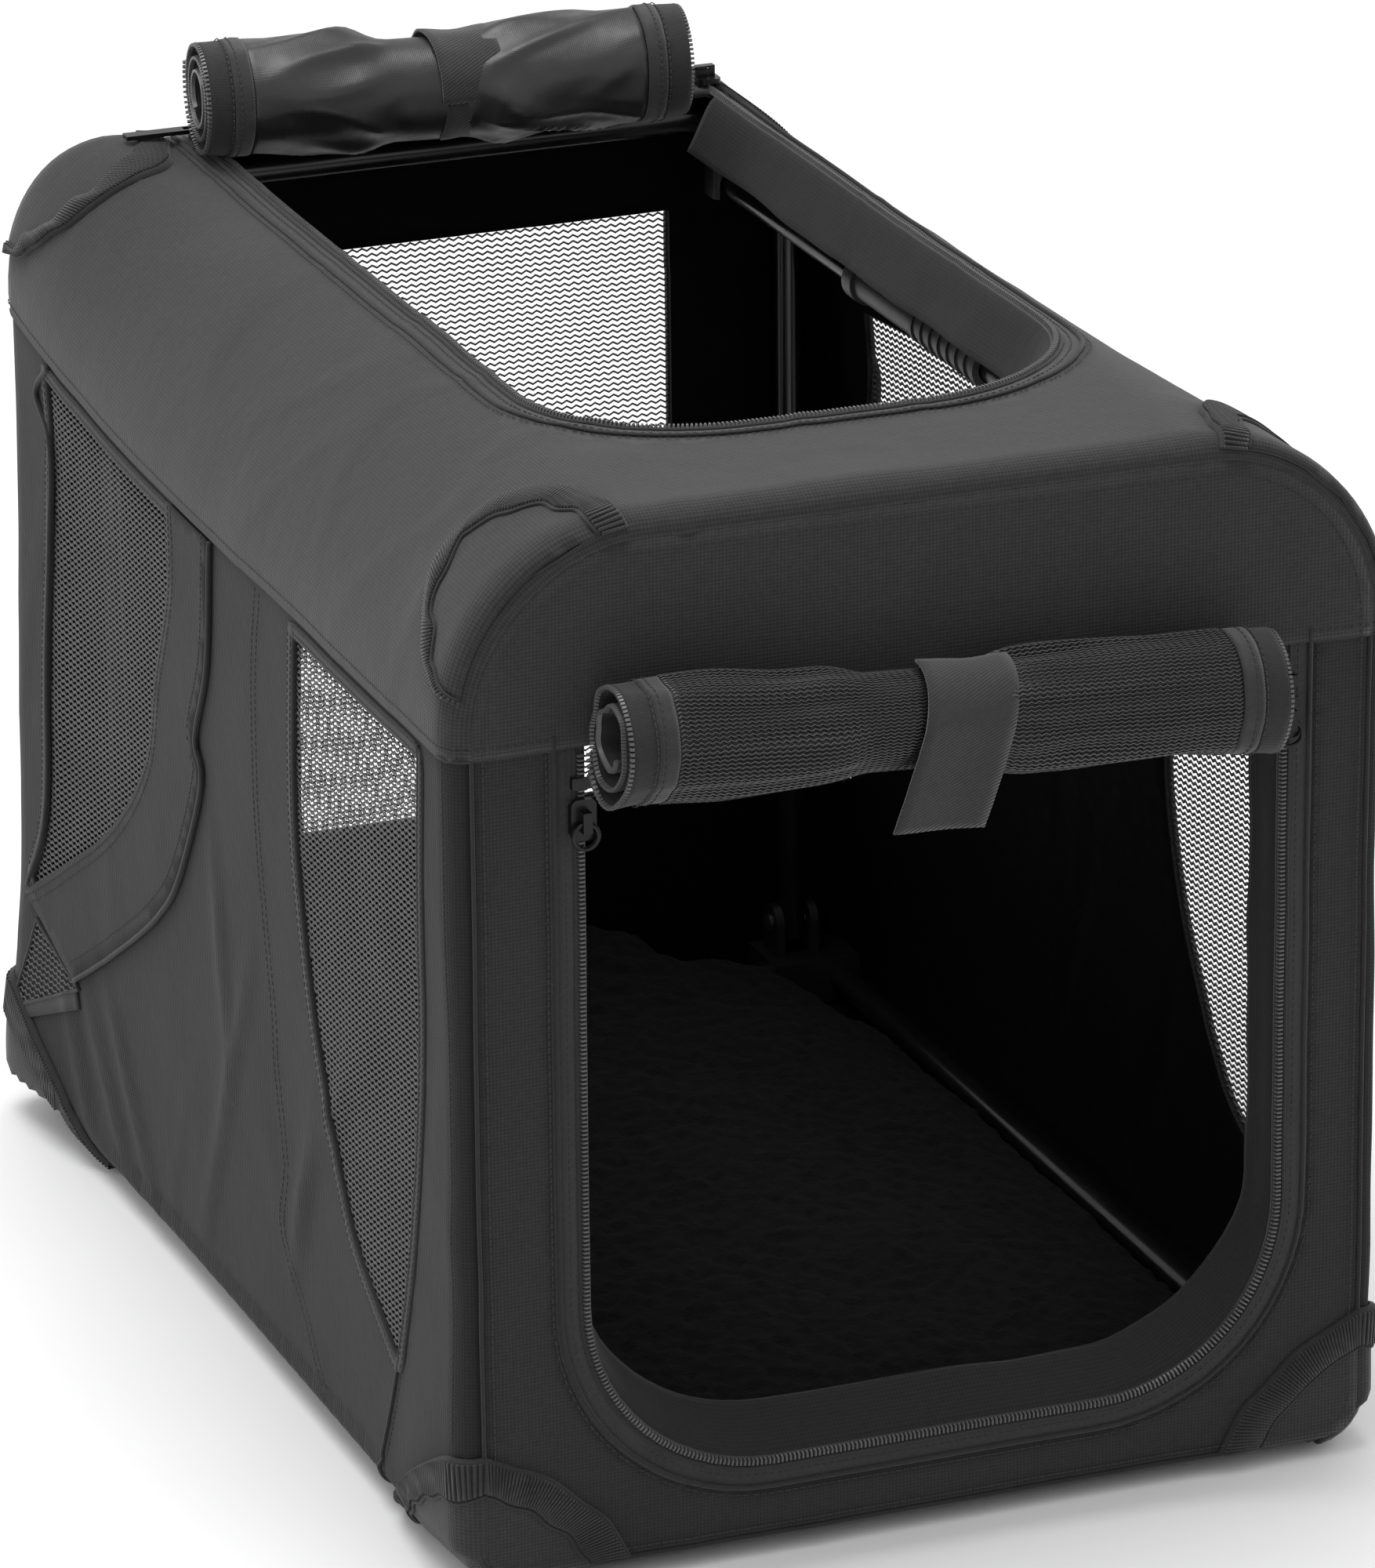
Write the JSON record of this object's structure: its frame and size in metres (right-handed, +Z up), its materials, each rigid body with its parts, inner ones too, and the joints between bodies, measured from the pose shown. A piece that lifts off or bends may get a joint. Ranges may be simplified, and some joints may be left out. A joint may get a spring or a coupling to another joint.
{
  "type": "folding pet carrier",
  "caption": "Soft-sided folding pet carrier: fabric cabin on a folding steel tube frame, with zipped door and roof openings rolled back.",
  "frame": {"origin": "on the ground under the middle of the base", "axes": "+X to the carrier's right seen from the door, -Y towards the door end, +Z up"},
  "size_m": [0.4228, 0.6559, 0.5385],
  "materials": {
    "steel_tube": "satin black powder coat",
    "zinc_fastener": "zinc plated",
    "black_plastic": "moulded black nylon",
    "oxford_fabric": "charcoal woven polyester with a coated back",
    "floor_board": "stiff sheet",
    "fleece": "black curly fleece",
    "mesh": "knitted polyester mesh",
    "mesh_roll": "rolled knitted mesh with a taped edge",
    "flap_roll": "coated woven flap, rolled with its shiny side out",
    "strap": "hook-and-loop tape",
    "zip_coil": "nylon coil",
    "zip_metal": "black lacquered zinc"
  },
  "bodies": {
    "base": {"base_rail_left": "steel_tube", "base_rail_right": "steel_tube", "base_cross_tube_front": "steel_tube", "base_cross_tube_rear": "steel_tube", "base_corner_front_left": "black_plastic", "base_corner_front_right": "black_plastic", "base_corner_rear_left": "black_plastic", "base_corner_rear_right": "black_plastic", "hinge_pins": "zinc_fastener", "floor_panel": "oxford_fabric", "floor_board": "floor_board", "fleece_mat": "fleece", "side_panel_left": "oxford_fabric", "side_panel_right": "oxford_fabric", "front_panel": "oxford_fabric", "back_panel": "oxford_fabric", "window_back": "mesh", "window_front_left": "mesh", "window_front_right": "mesh", "window_rear_left": "mesh", "window_rear_right": "mesh", "front_zip_coil": "zip_coil", "front_door_roll": "mesh_roll", "front_roll_strap": "strap", "foot_corner_patches": "oxford_fabric"},
    "front_frame": {"front_frame": "steel_tube", "rail_saddles_front": "black_plastic"},
    "back_frame": {"back_frame": "steel_tube", "rail_saddles_back": "black_plastic"},
    "top_rails": {"top_rail_front_left": "steel_tube", "top_rail_front_right": "steel_tube", "top_rail_rear_left": "steel_tube", "top_rail_rear_right": "steel_tube", "knee_link_left": "steel_tube", "knee_link_right": "steel_tube", "knee_rivets": "zinc_fastener", "rail_end_plugs": "black_plastic"},
    "roof": {"roof_panel": "oxford_fabric", "top_zip_coil": "zip_coil", "top_flap_roll": "flap_roll", "top_roll_strap": "strap", "top_corner_patches": "oxford_fabric"},
    "door_zip_stops": {"front_zip_stops": "zip_metal"},
    "lock_sleeve_left": {"lock_sleeve_left": "black_plastic"},
    "lock_sleeve_right": {"lock_sleeve_right": "black_plastic"},
    "door_zip_slider_left": {"front_zip_slider_left": "zip_metal"},
    "door_zip_ring_left": {"front_zip_ring_left": "zip_metal"},
    "door_zip_slider_right": {"front_zip_slider_right": "zip_metal"},
    "door_zip_ring_right": {"front_zip_ring_right": "zip_metal"},
    "roof_zip_slider_left": {"top_zip_slider_left": "zip_metal"},
    "roof_zip_tab_left": {"top_zip_tab_left": "zip_metal"},
    "roof_zip_slider_right": {"top_zip_slider_right": "zip_metal"},
    "roof_zip_tab_right": {"top_zip_tab_right": "zip_metal"}
  },
  "joints": [
    {"name": "back_frame_fold", "type": "hinge", "parent": "base", "child": "back_frame", "pos_m": [0, 0.278, 0.044], "axis": [1, 0, 0], "range_deg": [0, 88], "deforming": ["roof_panel", "top_zip_coil", "top_flap_roll", "top_roll_strap", "top_corner_patches", "front_zip_coil"]},
    {"name": "front_frame_fold", "type": "hinge", "parent": "base", "child": "front_frame", "pos_m": [0, -0.278, 0.066], "axis": [-1, 0, 0], "range_deg": [0, 84]},
    {"name": "top_rails_drop", "type": "slide", "parent": "base", "child": "top_rails", "axis": [0, 0, -1], "range_m": [0, 0.39]},
    {"name": "roof_drop", "type": "slide", "parent": "base", "child": "roof", "axis": [0, 0, -1], "range_m": [0, 0.33]},
    {"name": "door_zip_drop", "type": "slide", "parent": "base", "child": "door_zip_stops", "axis": [0, 0, -1], "range_m": [0, 0.245]},
    {"name": "lock_sleeve_left_slide", "type": "slide", "parent": "top_rails", "child": "lock_sleeve_left", "axis": [0, 1, 0], "range_m": [0, 0.05]},
    {"name": "lock_sleeve_right_slide", "type": "slide", "parent": "top_rails", "child": "lock_sleeve_right", "axis": [0, 1, 0], "range_m": [0, 0.05]},
    {"name": "door_zip_left", "type": "slide", "parent": "door_zip_stops", "child": "door_zip_slider_left", "axis": [0, 0, 1], "range_m": [-0.2, 0]},
    {"name": "door_ring_left_lift", "type": "hinge", "parent": "door_zip_slider_left", "child": "door_zip_ring_left", "pos_m": [-0.154, -0.3072, 0.344], "axis": [-1, 0, 0], "range_deg": [0, 150]},
    {"name": "door_zip_right", "type": "slide", "parent": "door_zip_stops", "child": "door_zip_slider_right", "axis": [0, 0, 1], "range_m": [-0.2, 0]},
    {"name": "door_ring_right_lift", "type": "hinge", "parent": "door_zip_slider_right", "child": "door_zip_ring_right", "pos_m": [0.162, -0.3072, 0.344], "axis": [-1, 0, 0], "range_deg": [0, 150]},
    {"name": "roof_zip_left", "type": "slide", "parent": "roof", "child": "roof_zip_slider_left", "axis": [0, 1, 0], "range_m": [-0.35, 0]},
    {"name": "roof_tab_left_lift", "type": "hinge", "parent": "roof_zip_slider_left", "child": "roof_zip_tab_left", "pos_m": [-0.119, 0.28, 0.4772], "axis": [0, 1, 0], "range_deg": [0, 50]},
    {"name": "roof_zip_right", "type": "slide", "parent": "roof", "child": "roof_zip_slider_right", "axis": [0, 1, 0], "range_m": [-0.35, 0]},
    {"name": "roof_tab_right_lift", "type": "hinge", "parent": "roof_zip_slider_right", "child": "roof_zip_tab_right", "pos_m": [0.131, 0.28, 0.4772], "axis": [0, 1, 0], "range_deg": [0, 150]}
  ],
  "couplings": [
    {"joint": "front_frame_fold", "follows": "back_frame_fold", "ratio": 0.95},
    {"joint": "top_rails_drop", "follows": "back_frame_fold", "m_per_rad": 0.2513},
    {"joint": "roof_drop", "follows": "back_frame_fold", "m_per_rad": 0.2116},
    {"joint": "door_zip_drop", "follows": "back_frame_fold", "m_per_rad": 0.1553}
  ]
}
